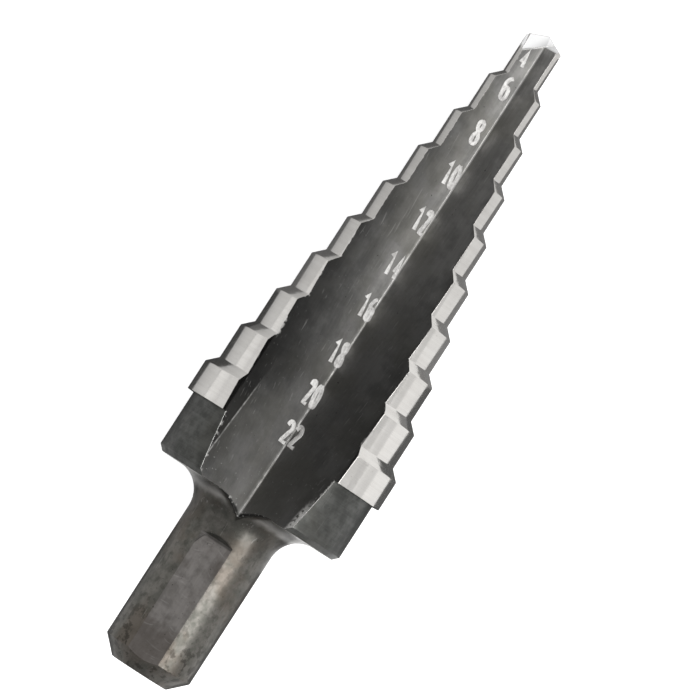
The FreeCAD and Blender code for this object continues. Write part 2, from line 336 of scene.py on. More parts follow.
@dataclass
class EffectGroups:
    """The node groups that the finishes share. Each one is made once, when it is first used.

    Attributes:
        lie: How the drill lies.
        outline: The drill's turned outline, which the rim's wear follows.
        flute: The flutes' form, which the painted shade round their ends follows.
        made: The groups that are made.
        speck_ragged: How frayed a speck's edge is.
        speck_edge: How a speck's edge fades.
        streak_edge: Softness of a scratch's edge.
        streak_gaps: Noise levels between which scratches fade out.
        collar_gap: How far over the collar's foot the neck's fillet ends, in millimetres.
        far: What lifts Foot beyond that, in millimetres.
    """

    lie: Lie
    outline: Outline
    flute: FluteForm
    made: dict[Effect, bpy.types.NodeTree] = field(default_factory=dict)
    speck_ragged: float = 0.8
    speck_edge: Ramp = (0.46, 0.58, 1.0, 0.0)
    streak_edge: float = 0.06
    streak_gaps: Pair = (0.42, 0.62)
    collar_gap: float = 0.02
    far: float = 10.0

    def get(self, effect: Effect) -> bpy.types.NodeTree:
        """Give an effect's group, and make it first where it is new.

        Args:
            effect: The effect.

        Returns:
            Its node group.
        """
        if effect not in self.made:
            makers = {
                Effect.GRAIN: self.grain, Effect.MOTTLE: self.mottle, Effect.SPECKS: self.specks,
                Effect.STREAKS: self.streaks, Effect.EDGES: self.edges,
            }
            tree = bpy.data.node_groups.new(effect.name.lower(), "ShaderNodeTree")
            new_socket = tree.interface.new_socket
            inputs, outputs = effect.value
            for label in inputs:
                kind = "Vector" if label in ("Place", "Stretch") else "Float"
                new_socket(name=label, in_out="INPUT", socket_type="NodeSocket" + kind)
            for label in outputs:
                new_socket(name=label, in_out="OUTPUT", socket_type="NodeSocketFloat")
            net = Wiring(tree)
            results = makers[effect](net, net.add("NodeGroupInput").outputs)
            net.add("NodeGroupOutput", dict(zip(outputs, results)))
            self.made[effect] = tree
        return self.made[effect]

    def grain(self, net: Wiring, given: Any) -> tuple:
        """Fine parallel grinding lines. Stretch is large across the lines and small along them.

        Args:
            net: The group's wiring.
            given: The group's inputs.

        Returns:
            Tone and Height.
        """
        place = net.vector("MULTIPLY", given["Place"], given["Stretch"])
        fine = net.noise(place, scale=1.0, detail=2.0, rough=0.7)
        broad = net.noise(place, scale=0.23, detail=1.0)
        both = net.mixed(fine, 0.6, broad)
        return net.ramp(both, low=0.3, high=0.7), both

    def mottle(self, net: Wiring, given: Any) -> tuple:
        """Soft blotches. Size is blotches per millimetre, and Edge the softness of their edges.

        Args:
            net: The group's wiring.
            given: The group's inputs.

        Returns:
            Mask.
        """
        tone = net.noise(given["Place"], given["Size"], detail=4.0, rough=0.6)
        low = net.minus(given["Level"], given["Edge"])
        return (net.ramp(tone, low, net.plus(given["Level"], given["Edge"])),)

    def specks(self, net: Wiring, given: Any) -> tuple:
        """Small scattered specks. Count is cells per millimetre, and Share how many hold one.

        Args:
            net: The group's wiring.
            given: The group's inputs.

        Returns:
            Mask.
        """
        warp = net.noise(given["Place"], scale=9.0, detail=2.0)
        inputs = {"Vector": given["Place"], "Scale": given["Count"]}
        cells = net.add("ShaderNodeTexVoronoi", inputs).outputs
        near = net.line(warp, self.speck_ragged, cells["Distance"])
        pick = net.add("ShaderNodeSeparateColor", {0: cells["Color"]}).outputs[0]
        held = net.math("LESS_THAN", pick, given["Share"])
        return (net.times(net.ramp(near, *self.speck_edge), held),)

    def streaks(self, net: Wiring, given: Any) -> tuple:
        """Long thin scratches. Stretch is large across them, and Bend how far they bend.

        Args:
            net: The group's wiring.
            given: The group's inputs.

        Returns:
            Mask.
        """
        sway = net.times(net.noise(given["Place"], scale=0.3, detail=1.0), given["Bend"])
        place = net.vector("ADD", given["Place"], net.grey(sway))
        place = net.vector("MULTIPLY", place, given["Stretch"])
        lines = net.noise(place, scale=1.0, detail=1.0, rough=0.4)
        high = net.plus(given["Level"], self.streak_edge)
        gaps = net.ramp(net.noise(given["Place"], 0.6, detail=2.0), *self.streak_gaps)
        return (net.times(net.ramp(lines, given["Level"], high), gaps),)

    def edges(self, net: Wiring, given: Any) -> tuple:
        """How near a point is to the drill's edges, in millimetres.

        Args:
            net: The group's wiring.
            given: The group's inputs.

        Returns:
            Rim, the depth under the turned outline, Foot, the depth under the neck's fillet, and
            Wall, the height over the flute's wall.
        """
        o, f = self.outline, self.flute
        across, up, along = net.parts(given["Place"])
        radius = net.slant(across, up)
        past = net.minus(along, o.last_corner)
        order = net.math("FLOOR", net.math("DIVIDE", past, o.pitch))
        rest = net.math("MINIMUM", net.minus(past, net.times(order, o.pitch)), o.rise)
        fall = net.plus(net.times(order, o.rise), rest)
        stepped = net.minus(o.last_radius, fall)
        collar = net.math("LESS_THAN", along, o.collar_top)
        outline = net.line(collar, net.minus(o.collar_radius, stepped), stepped)
        past = net.minus(along, o.neck_foot)
        square = net.line(past, net.times(past, -1.0), o.neck_radius ** 2)
        ring = net.math("SQRT", net.most(square, 0.0))
        neck = net.minus(o.shank_radius + o.neck_radius, ring)
        neck = net.line(net.above(along, o.collar_foot + self.collar_gap), self.far, neck)
        rise = net.minus(f.wheel_height, net.size(up))
        back = net.math("MINIMUM", net.minus(along, f.wheel_start), 0.0)
        over = net.minus(net.slant(rise, back), f.wheel_radius)
        side = net.line(across, net.math("SIGN", up), -f.root)
        angle = math.radians(f.openings[0])
        over = net.times(over, math.sin(angle))
        wall = net.line(net.size(side), math.cos(angle), over)
        return net.minus(outline, radius), net.minus(neck, radius), wall


class Dressing(Wiring):
    """A material in the making. Its place is in the drill's upright frame, in millimetres."""

    def __init__(self, name: str, groups: EffectGroups) -> None:
        """Start a material.

        Args:
            name: The material's name.
            groups: The shared groups.
        """
        self.material = bpy.data.materials.new(name)
        self.material.use_nodes = True
        self.material.node_tree.nodes.clear()
        super().__init__(self.material.node_tree)
        self.groups = groups
        matrix = groups.lie.matrix()
        inputs = {
            "Vector": self.add("ShaderNodeTexCoord").outputs["Object"],
            "Location": matrix.translation, "Rotation": matrix.to_euler(), "Scale": (MM, MM, MM),
        }
        self.place = self.add("ShaderNodeMapping", inputs, vector_type="TEXTURE").outputs[0]

    @cached_property
    def spot(self) -> Any:
        """The place across, up and along."""
        return self.parts(self.place)

    @cached_property
    def depths(self) -> Any:
        """How near the drill's edges are."""
        return self.use(Effect.EDGES)

    def use(self, effect: Effect, **inputs: Any) -> Any:
        """Place a shared group in the material, and give its outputs."""
        inputs = {"Place": self.place, **inputs}
        return self.add("ShaderNodeGroup", inputs, node_tree=self.groups.get(effect)).outputs

    def patches(self, scale: float, *ramp: float) -> Any:
        """Ragged patches: noise of so many patches per millimetre, and the ramp over it."""
        return self.ramp(self.noise(self.place, scale), *ramp)


@dataclass(frozen=True)
class Finish:
    """A finish with fine parallel lines.

    Attributes:
        name: The material's name.
        dark: Its darker colour.
        light: Its lighter colour.
        stretch: Lines per millimetre along each direction of the upright frame.
        roughness: Roughness of the dark and the light tone.
        metal: How metallic it is, and how metallic its worn places are.
        relief: Height of the lines, in millimetres.
    """

    name: str
    dark: Triple
    light: Triple
    stretch: Triple
    roughness: Pair
    metal: Pair
    relief: float

    def make(self, groups: EffectGroups) -> bpy.types.Material:
        """Make the material.

        Args:
            groups: The shared groups.

        Returns:
            The material.
        """
        net = Dressing(self.name, groups)
        grain = net.use(Effect.GRAIN, Stretch=self.stretch)
        colour, tone, metal, height = self.dress(net, grain)
        bump = net.add("ShaderNodeBump", {"Height": height, "Distance": self.relief * MM})
        shader = net.add("ShaderNodeBsdfPrincipled", {
            "Base Color": colour, "Roughness": net.ramp(tone, 0.0, 1.0, *self.roughness),
            "Metallic": metal, "Normal": bump.outputs[0],
        })
        net.add("ShaderNodeOutputMaterial", {0: shader.outputs[0]})
        return net.material

    def dress(self, net: Dressing, grain: Any) -> tuple:
        """Give the colour, the tone that roughness follows, the metal and the bump's height."""
        colour = net.blend(grain["Tone"], self.dark, self.light)
        return colour, grain["Tone"], self.metal[0], grain["Height"]


@dataclass(frozen=True)
class EtchedMark(Finish):
    """Pale etched numbers with a broken, grainy face."""

    name: str = "etched_mark"
    dark: Triple = (0.38, 0.37, 0.36)
    light: Triple = (0.79, 0.78, 0.76)
    stretch: Triple = (5.0, 5.0, 3.0)
    roughness: Pair = (0.5, 0.65)
    metal: Pair = (0.1, 0.1)
    relief: float = 0.003


@dataclass(frozen=True)
class GroundSteel(Finish):
    """Bare steel with fine grinding lines round the drill, and a painted highlight at the point.

    Attributes:
        stain_share: Share of the stains in the tone.
        speck: Colour of the specks.
        speck_share: Strength of the specks.
        taper: Ramp along the drill for the share of the tone that is left.
        glare: Colour of the painted highlight, a burnt-out white, at the point.
        glare_foot: Colour of that painted highlight's duller foot beside the flute.
        foot: Ramp over the flute's wall for that foot.
        glare_start: Where the glare starts and is full, in millimetres.
        glare_side: Product of the places across and up from which the glare grows, above the axis.
        glare_rise: Growth of that product over which the glare grows.
    """

    dark: Triple = (0.57, 0.553, 0.53)
    light: Triple = (0.66, 0.645, 0.622)
    stretch: Triple = (0.12, 0.12, 7.0)
    roughness: Pair = (0.16, 0.10)
    metal: Pair = (1.0, 1.0)
    relief: float = 0.0003
    stain_share: float = 0.35
    speck: Triple = (0.3, 0.27, 0.24)
    speck_share: float = 0.25
    taper: Ramp = (26.0, 62.0, 1.08, 0.80)
    glare: Triple = (0.68, 0.68, 0.68)
    glare_foot: Triple = (0.46, 0.46, 0.46)
    foot: Ramp = (0.12, 0.32, 1.0, 0.0)
    glare_start: Pair = (70.9, 71.5)
    glare_side: float = 0.1
    glare_rise: float = 1.1

    def dress(self, net: Dressing, grain: Any) -> tuple:
        """Dress the steel.

        Args:
            net: The material's wiring.
            grain: Tone and height of the fine lines.

        Returns:
            The colour, the tone that roughness follows, the metal and the bump's height.
        """
        across, up, along = net.spot
        turned = net.times(across, net.most(up, 0.0))
        turned = net.ramp_from(self.glare_side, turned, 0.0, self.glare_rise)
        stain = net.use(Effect.MOTTLE, Size=0.35, Level=0.5, Edge=0.14)["Mask"]
        speck = net.use(Effect.SPECKS, Count=1.6, Share=0.16)["Mask"]
        tone = net.mixed(stain, self.stain_share, grain["Tone"])
        colour = net.blend(tone, self.dark, self.light)
        colour = net.blend(net.times(speck, self.speck_share), colour, self.speck)
        level = net.grey(net.ramp(along, *self.taper))
        colour = net.vector("MULTIPLY", colour, level)
        # Painted highlight: a matt near-white at the point, duller beside the flute
        glare = net.times(net.ramp(along, *self.glare_start), turned)
        foot = net.ramp(net.size(net.depths["Wall"]), *self.foot)
        colour = net.blend(glare, colour, net.blend(foot, self.glare, self.glare_foot))
        return colour, grain["Tone"], net.minus(self.metal[0], glare), grain["Height"]


@dataclass(frozen=True)
class BlackOxide(Finish):
    """Black oxide with stains, scratches and specks.

    Attributes:
        stain: Colour of the broad stains.
        rubbed: Colour of scratches, specks and worn places, and of the painted highlights some
            finishes add to them.
        hollow: Colour of the dark pits.
        patch: Blotches per millimetre.
        stain_share: Strength of the broad stains.
        line_share: Share of the grinding lines in the tone.
        scratch: Scratches per millimetre along each direction of the upright frame.
        scratch_level: Noise level above which there is a scratch.
        scratch_share: Strength of the scratches.
        bend: How far the scratches bend, in millimetres.
        speck_share: Share of the cells that hold a speck.
        speck_wear: Strength of the specks.
        speck_height: Height of the specks as a share of the grinding lines'.
        pit_share: Share of the cells that hold a dark pit.
        pit_fade: Change of the pits from dark to light oxide, and their strength in the dark.
    """

    dark: Triple = (0.050, 0.051, 0.048)
    light: Triple = (0.085, 0.086, 0.081)
    stretch: Triple = (4.0, 4.0, 0.15)
    roughness: Pair = (0.46, 0.36)
    metal: Pair = (0.9, 1.0)
    relief: float = 0.002
    stain: Triple = (0.060, 0.058, 0.050)
    rubbed: Triple = (0.36, 0.35, 0.34)
    hollow: Triple = (0.012, 0.011, 0.010)
    patch: float = 0.45
    stain_share: float = 0.35
    line_share: float = 0.35
    scratch: Triple = (5.0, 5.0, 0.25)
    scratch_level: float = 0.66
    scratch_share: float = 0.18
    bend: float = 0.5
    speck_share: float = 0.03
    speck_wear: float = 0.6
    speck_height: float = 0.5
    pit_share: float = 0.04
    pit_fade: Pair = (-0.6, 0.9)

    def dress(self, net: Dressing, grain: Any) -> tuple:
        """Dress the oxide.

        Args:
            net: The material's wiring.
            grain: Tone and height of the fine lines.

        Returns:
            The colour, the tone that roughness follows, the metal and the bump's height.
        """
        fine = net.use(Effect.MOTTLE, Size=self.patch, Level=0.5, Edge=0.14)["Mask"]
        broad = net.use(Effect.MOTTLE, Size=0.17, Level=0.52, Edge=0.08)["Mask"]
        scratches = net.use(
            Effect.STREAKS, Stretch=self.scratch, Level=self.scratch_level, Bend=self.bend,
        )["Mask"]
        speck = net.use(Effect.SPECKS, Count=1.1, Share=self.speck_share)["Mask"]
        pit = net.use(Effect.SPECKS, Count=2.6, Share=self.pit_share)["Mask"]
        tone = net.mixed(grain["Tone"], self.line_share, fine)
        colour = net.blend(tone, self.dark, self.light)
        colour = net.blend(net.times(broad, self.stain_share), colour, self.stain)
        colour = self.shade(net, colour)
        pit = net.times(pit, net.line(fine, *self.pit_fade))
        colour = net.blend(pit, colour, self.hollow)
        scratches = net.times(scratches, self.scratch_share)
        # Scratches, specks and wear; in some finishes the wear also holds painted highlights
        worn = net.most(scratches, net.times(speck, self.speck_wear), self.wear(net))
        colour = net.blend(worn, colour, self.rubbed)
        metal = net.ramp(worn, 0.0, 1.0, *self.metal)
        return colour, tone, metal, net.line(speck, self.speck_height, grain["Height"])

    def shade(self, net: Dressing, colour: Any) -> Any:
        """Change the oxide's colour from place to place, here not at all."""
        return colour

    def wear(self, net: Dressing) -> Any:
        """Mask of places worn to bare steel, and of painted highlights, here none."""
        return 0.0


@dataclass(frozen=True)
class ShankOxide(BlackOxide):
    """The shank's dull oxide with painted shade, rubbed bright with a painted highlight where the
    neck meets the collar.

    Attributes:
        painted_shade_colour: Colour of the painted shade.
        neck: Ramp along the drill for the painted shade at the neck, by the collar.
        chamfer: Ramp from the end chamfer's edge for the painted shade on it.
        fray: How far the painted shade beside the flutes is frayed, in millimetres.
        seam_shadow: Ramp over the flute's wall for the painted shadow line under the flutes' edges.
        beside: Ramp over the flute's wall for the softer painted shadow round that line.
        sunk: Ramp from the shank's radius for the painted shade on the ramps at the flats' ends.
        pitted: Colour of the pitted places.
        pitting: Ramp along the drill for how pitted it is.
        ring: Where along the drill the bright ring starts and is full, in millimetres.
        ring_sway: How far the ring's start sways, and the shift that centres it.
        ring_highlight_side: Ramp across the drill for the ring's strength, which paints it
            brightest at its sides as a highlight.
        ring_wall: Heights over the flute's wall where the ring starts and is full.
    """

    painted_shade_colour: Triple = (0.020, 0.020, 0.018)
    neck: Ramp = (13.2, 17.9, 0.0, 0.5)
    chamfer: Ramp = (-0.1, 0.1, 0.3, 0.0)
    fray: float = 0.5
    seam_shadow: Ramp = (0.4, 0.65, 0.9, 0.0)
    beside: Ramp = (0.3, 2.4, 0.55, 0.0)
    sunk: Ramp = (-0.10, -0.03, 0.75, 0.0)
    pitted: Triple = (0.022, 0.020, 0.016)
    pitting: Ramp = (1.0, 9.0, 0.7, 0.25)
    ring: Pair = (18.0, 18.7)
    ring_sway: Pair = (0.6, 0.3)
    ring_highlight_side: Ramp = (3.8, 6.2, 0.15, 1.0)
    ring_wall: Pair = (0.4, 0.9)

    def shade(self, net: Dressing, colour: Any) -> Any:
        """Paint shade on the oxide at the neck, the end chamfer, beside the flutes and at the
        flats' ends, and pit it.

        Args:
            net: The material's wiring.
            colour: The oxide's colour.

        Returns:
            The shaded colour.
        """
        o = net.groups.outline
        across, up, along = net.spot
        rag = net.line(net.noise(net.place, 1.8), self.fray, net.depths["Wall"])
        chamfer = net.ramp_from(o.end_chamfer, along, *self.chamfer)
        sunk = net.ramp_from(o.shank_radius, net.slant(across, up), *self.sunk)
        sunk = net.times(sunk, net.above(along, 2.0 * o.end_chamfer))
        # Painted shade: by the collar, on the end chamfer, under the flutes' edges and on the ramps
        # at the flats' ends
        dark = net.most(
            net.ramp(along, *self.neck), chamfer, net.ramp(rag, *self.seam_shadow),
            net.ramp(rag, *self.beside), sunk,
        )
        colour = net.blend(dark, colour, self.painted_shade_colour)
        pitted = net.use(Effect.MOTTLE, Size=1.3, Level=0.56, Edge=0.05)["Mask"]
        pitted = net.times(pitted, net.ramp(along, *self.pitting))
        return net.blend(pitted, colour, self.pitted)

    def wear(self, net: Dressing) -> Any:
        """Rub the bright ring, painted brightest at the drill's sides as a highlight.

        Args:
            net: The material's wiring.

        Returns:
            The ring's mask.
        """
        across, _, along = net.spot
        sway, shift = self.ring_sway
        sway = net.line(net.noise(net.place, 0.8), sway, net.minus(along, shift))
        # Painted highlight: the rubbed ring is brightest at the drill's sides
        beside = net.ramp(net.size(across), *self.ring_highlight_side)
        beside = net.times(beside, net.ramp(net.depths["Wall"], *self.ring_wall))
        return net.times(net.ramp(sway, *self.ring), beside)


@dataclass(frozen=True)
class FlatOxide(BlackOxide):
    """The oxide of the shank's flats, painted paler for the light from above; their ends have a
    painted shadow line, round at one corner.

    Attributes:
        count: How many flats there are.
        turn: Turn of the first flat from the flute's middle, in degrees.
        end: Where the flats end, in millimetres.
        corner: Where the round corner starts beside a flat's middle, and its steepness.
        painted_shade_colour: Colour of the painted shade at the end.
        fray: How far the end is frayed, in millimetres.
        line_shadow: Ramp beside the end's line for its painted shadow.
        end_shade: Ramp beyond that line for its painted shade.
    """

    count: int = 3
    turn: float = 3.5
    end: float = 14.9
    corner: Pair = (1.1, 2.4)
    painted_shade_colour: Triple = (0.025, 0.024, 0.022)
    fray: float = 0.2
    line_shadow: Ramp = (0.05, 0.25, 0.65, 0.0)
    end_shade: Ramp = (0.0, 0.15, 0.0, 0.45)

    def shade(self, net: Dressing, colour: Any) -> Any:
        """Paint a shadow line and shade at the end of each flat.

        Args:
            net: The material's wiring.
            colour: The oxide's colour.

        Returns:
            The shaded colour.
        """
        across, up, along = net.spot
        angle = net.minus(net.math("ARCTAN2", across, up), math.radians(self.turn))
        half = math.pi / self.count
        slope = net.math("TANGENT", net.math("WRAP", angle, half, -half))
        beside = net.times(slope, net.groups.outline.flat_distance)
        over = net.most(net.minus(beside, self.corner[0]), 0.0)
        drop = net.times(over, over, self.corner[1])
        past = net.minus(net.plus(along, drop), self.end)
        past = net.line(net.noise(net.place, 1.2), self.fray, past)
        # Painted shadow line along each flat's end, and painted shade beyond it, round at one
        # corner
        line = net.ramp(net.size(past), *self.line_shadow)
        dark = net.most(line, net.ramp(past, *self.end_shade))
        return net.blend(dark, colour, self.painted_shade_colour)


@dataclass(frozen=True)
class FluteOxide(BlackOxide):
    """The oxide of the flutes, paler along the root, with painted light towards the point and
    painted shade.

    Attributes:
        own_level: Brightness that the oxide's own colours are made for.
        pale: Brightness beside the root along the drill, painted lighter towards the point.
        fall: How fast the numbered wall darkens outwards, per millimetre, along the drill.
        plain_fall: The same for the other wall.
        sway: How much more the numbered wall's tone sways, and how much the other's does.
        line: Two points, along and beside the axis, of the line that ends the paler rear wall.
        outer: Where the painted shade outside that line starts and is full.
        outer_shade_strength: Strength of that painted shade along the drill.
        seam_shadow: Painted shade beside the neck's fillet.
        seam_shadow_fray: How far that shade is frayed, in millimetres.
        broken: Gaps in the painted highlight along the root and in the thin line.
        root: Strength of the painted highlight outwards from the root.
        root_highlight_edge: Where that highlight starts beside the root.
        flecks: Flecks on the rim.
        reach: Their depth along the drill.
        least_reach: Depth of the rubbed rim between them.
        rim: Brightness of the rim.
        foot: Brightness of the flecks beside the neck's fillet.
        foot_flecks: Where they are.
        grit: Strength of the fine grit along the drill.
        thin: Brightness of the thin line.
        thin_end: Its end along the drill.
        strip: Brightness of the strip beside the collar, inwards from the rim.
        strip_end: Its end along the drill.
        strip_flecks: Gaps in it.
    """

    own_level: float = 0.068
    pale: Ramp = (31.0, 49.0, 0.17, 0.285)
    fall: Ramp = (26.0, 34.0, 0.22, 0.45)
    plain_fall: Ramp = (26.0, 46.0, 0.24, 0.32)
    sway: Pair = (1.1, 0.3)
    line: tuple[float, ...] = (20.0, 5.45, 31.5, 4.85)
    outer: Pair = (-0.12, 0.12)
    outer_shade_strength: Ramp = (28.0, 35.0, 0.62, 0.0)
    seam_shadow: Ramp = (0.42, 0.72, 0.85, 0.0)
    seam_shadow_fray: float = 0.5
    broken: Patches = (1.3, 0.35, 0.6, 0.35, 1.0)
    root: Ramp = (0.10, 0.40, 0.27, 0.0)
    root_highlight_edge: float = -0.05
    flecks: Patches = (2.2, 0.48, 0.66)
    reach: Ramp = (30.0, 50.0, 0.45, 0.10)
    least_reach: float = 0.01
    rim: float = 0.45
    foot: Ramp = (0.1, 1.1, 0.6, 0.0)
    foot_flecks: Patches = (3.2, 0.56, 0.66)
    grit: Ramp = (20.0, 27.0, 0.2, 0.05)
    thin: Ramp = (0.03, 0.09, 0.3, 0.0)
    thin_end: Ramp = (27.0, 31.0, 1.0, 0.0)
    strip: Ramp = (0.35, 0.85, 0.7, 0.0)
    strip_end: Ramp = (21.2, 23.4, 1.0, 0.0)
    strip_flecks: Patches = (3.4, 0.32, 0.54)

    def side(self, net: Dressing) -> Any:
        """Place across the flute, positive on the numbered wall."""
        return net.times(net.spot[0], net.math("SIGN", net.spot[1]))

    def beyond(self, net: Dressing) -> Any:
        """Measure how far a point lies outside the line that ends the paler rear wall.

        Args:
            net: The material's wiring.

        Returns:
            The distance's socket, in millimetres.
        """
        low, beside, high, above = self.line
        slope = (above - beside) / (high - low)
        inner = net.line(net.spot[2], slope, beside - slope * low)
        return net.minus(self.side(net), inner)

    def shade(self, net: Dressing, colour: Any) -> Any:
        """Turn the oxide's even tone into one pale at the root and dark at the rim, with painted
        light and shade.

        Args:
            net: The material's wiring.
            colour: The oxide's colour.

        Returns:
            The shaded colour.
        """
        along = net.spot[2]
        sway = net.minus(net.noise(net.place, scale=0.35, detail=4.0, rough=0.6), 0.5)
        off = net.minus(self.side(net), net.groups.flute.root)
        numbered = net.above(off, 0.0)
        sway = net.times(sway, net.line(numbered, *self.sway))
        off = net.plus(sway, net.size(off))
        plain = net.ramp(along, *self.plain_fall)
        fall = net.minus(net.ramp(along, *self.fall), plain)
        fall = net.line(numbered, fall, plain)
        share = net.math("EXPONENT", net.times(off, net.times(fall, -1.0)))
        # Paler along the root, with painted light towards the point
        level = net.times(share, net.ramp(along, *self.pale))
        # Painted shade in a band along the numbered wall's rim, and beside the neck's fillet
        outer = net.ramp(self.beyond(net), *self.outer)
        outer = net.times(outer, net.ramp(along, *self.outer_shade_strength))
        seam_shadow = net.noise(net.place, 1.6)
        seam_shadow = net.line(seam_shadow, self.seam_shadow_fray, net.size(net.depths["Foot"]))
        dimmed = net.most(outer, net.ramp(seam_shadow, *self.seam_shadow))
        level = net.times(level, net.minus(1.0, dimmed), 1.0 / self.own_level)
        return net.vector("MULTIPLY", colour, net.grey(level))

    def wear(self, net: Dressing) -> Any:
        """Paint a highlight along the root and a thin pale line, and rub the rim, the foot and a
        strip beside the collar.

        Args:
            net: The material's wiring.

        Returns:
            The mask of the worn places, the painted highlight and the thin line.
        """
        side, along, depths = self.side(net), net.spot[2], net.depths
        off = net.minus(side, net.groups.flute.root)
        broken = net.patches(*self.broken)
        reach = net.times(net.patches(*self.flecks), net.ramp(along, *self.reach))
        reach = net.plus(reach, self.least_reach)
        # The first mark is a painted highlight along the root, the third a thin pale line along the
        # painted band's edge; the others are wear
        marks = (
            (net.ramp(off, *self.root), net.above(off, self.root_highlight_edge), broken),
            (net.ramp(depths["Rim"], 0.0, reach, self.rim, 0.0),),
            (net.ramp(net.size(self.beyond(net)), *self.thin),
             net.ramp(along, *self.thin_end), broken),
            (net.ramp(depths["Rim"], *self.strip), net.math("LESS_THAN", side, 0.0),
             net.ramp(along, *self.strip_end), net.patches(*self.strip_flecks)),
            (net.ramp(net.size(depths["Foot"]), *self.foot),
             net.patches(*self.foot_flecks)),
            (net.use(Effect.SPECKS, Count=2.4, Share=0.3)["Mask"],
             net.ramp(along, *self.grit)),
        )
        return net.most(*(net.times(*mark) for mark in marks))


@dataclass
class DrillBody:
    """The drill itself, with one finish for each kind of surface.

    Attributes:
        lie: How the drill lies.
        outline: The drill's turned outline.
        flute: The form of its flutes.
        edge_width: Width of the tiny bevel on its edges, in millimetres.
        edge_angle: Turn between two faces from which their edge is bevelled, in degrees.
        sharp_angle: Turn between two faces from which their edge is shaded sharply, in degrees.
        facet_angle: Turn between two facets below which they are made one face, in degrees.
        weld: Distance below which two corners are made one, in metres.
        hair: How far a face may lie from where it belongs, in millimetres.
        round_depth: Depth under the outline down to which a face may be turned, in millimetres.
        step_depth: The same for a step.
        point_length: Length of the ground point, in millimetres.
        bright_length: Length of the point whose edges are rubbed bright, in millimetres.
    """

    lie: Lie
    outline: Outline
    flute: FluteForm
    edge_width: float = 0.035
    edge_angle: float = 28.0
    sharp_angle: float = 35.0
    facet_angle: float = 0.5
    weld: float = 1e-7
    hair: float = 0.01
    round_depth: float = 0.7
    step_depth: float = 0.25
    point_length: float = 3.0
    bright_length: float = 2.0

    def build(self) -> bpy.types.Object:
        """Copy the solid, sort its faces into zones and soften its edges.

        Returns:
            The new object.
        """
        mesh = bmesh.new()
        mesh.from_mesh(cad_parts[NODE].data)
        bmesh.ops.remove_doubles(mesh, verts=mesh.verts, dist=self.weld)
        limit = math.radians(self.facet_angle)
        bmesh.ops.dissolve_limit(mesh, angle_limit=limit, verts=mesh.verts, edges=mesh.edges)
        upright = self.lie.matrix().inverted()
        for face in mesh.faces:
            normal = (upright.to_3x3() @ face.normal).normalized()
            face.material_index = self.zone(upright @ face.calc_center_median(), normal).value
        normals = self.soften(mesh)
        data = bpy.data.meshes.new("drill_body")
        mesh.to_mesh(data)
        mesh.free()
        data.normals_split_custom_set(normals)
        return show("drill_body", data)

    def zone(self, centre: Vector, normal: Vector) -> Zone:
        """Tell which surface a face belongs to.

        Args:
            centre: The face's centre in the upright frame, in millimetres.
            normal: The face's normal in the upright frame.

        Returns:
            The face's zone.
        """
        o, hair = self.outline, self.hair
        outward = normal.dot(Vector((centre.x, centre.y, 0.0)).normalized())
        if centre.z < o.collar_foot + hair and (normal.z < 0.01 or centre.z < o.neck_foot):
            level = math.hypot(normal.x, normal.y) > 0.999
            flat = level and abs(centre.dot(normal) - o.flat_distance) < 2 * hair
            return Zone.FLAT if flat else Zone.SHANK
        depth = o.radius(centre.z) - math.hypot(centre.x, centre.y)
        rear = normal.z < -0.5 and centre.z < o.collar_top + 10 * hair
        if rear or outward > 0.6 and depth < self.round_depth:
            if centre.z < o.collar_top + hair:
                return Zone.COLLAR
            if abs(depth) < self.step_depth:
                return Zone.STEP
        if normal.z > 0.05 and centre.z > o.tip - self.point_length:
            return Zone.POINT
        return Zone.FLUTE

    def is_rubbed(self, centre: Vector, normal: Vector) -> bool:
        """Tell whether a bevel's face runs along a flute's edge on the collar or is at the point.

        Args:
            centre: The face's centre in the upright frame, in millimetres.
            normal: The face's normal in the upright frame.

        Returns:
            Whether it does.
        """
        o = self.outline
        radius = math.hypot(centre.x, centre.y)
        beside = o.collar_foot + 0.3 < centre.z < o.collar_top - 0.05
        along_flute = abs(normal.z) < 0.3 and radius > o.collar_radius - 0.1
        return beside and along_flute or centre.z > o.tip - self.bright_length

    def soften(self, mesh: bmesh.types.BMesh) -> list[Vector]:
        """Bevel the edges a little and shade the round faces smoothly.

        Args:
            mesh: The drill's mesh in the row frame.

        Returns:
            The normals of all face corners, zero where the mesh's own will do.
        """
        limit = math.radians(self.edge_angle)
        width = self.edge_width * MM
        edges = [
            edge for edge in mesh.edges
            if len(edge.link_faces) == 2 and edge.calc_face_angle(0.0) > limit
            and edge.calc_length() > 6 * width
            and any(face.material_index != Zone.COLLAR.value for face in edge.link_faces)
        ]
        bevelled = bmesh.ops.bevel(
            mesh, geom=edges, offset=width, offset_type="OFFSET", segments=2, profile=0.5,
            affect="EDGES", clamp_overlap=False, material=-1,
        )
        narrow = set(bevelled["faces"])
        upright = self.lie.matrix().inverted()
        turn = self.lie.turn()
        normals = []
        for face in mesh.faces:
            face.smooth = True
            normal = turn.inverted() @ face.normal
            if face in narrow:
                normals += [Vector()] * len(face.loops)
                if self.is_rubbed(upright @ face.calc_center_median(), normal):
                    face.material_index = Zone.EDGE.value
                continue
            zone = Zone(face.material_index)
            for loop in face.loops:
                normals.append(turn @ self.true_normal(upright @ loop.vert.co, normal, zone))
        for edge in mesh.edges:
            turned = edge.calc_face_angle(0.0) if len(edge.link_faces) == 2 else 0.0
            if turned > math.radians(self.sharp_angle):
                edge.smooth = False
        return normals

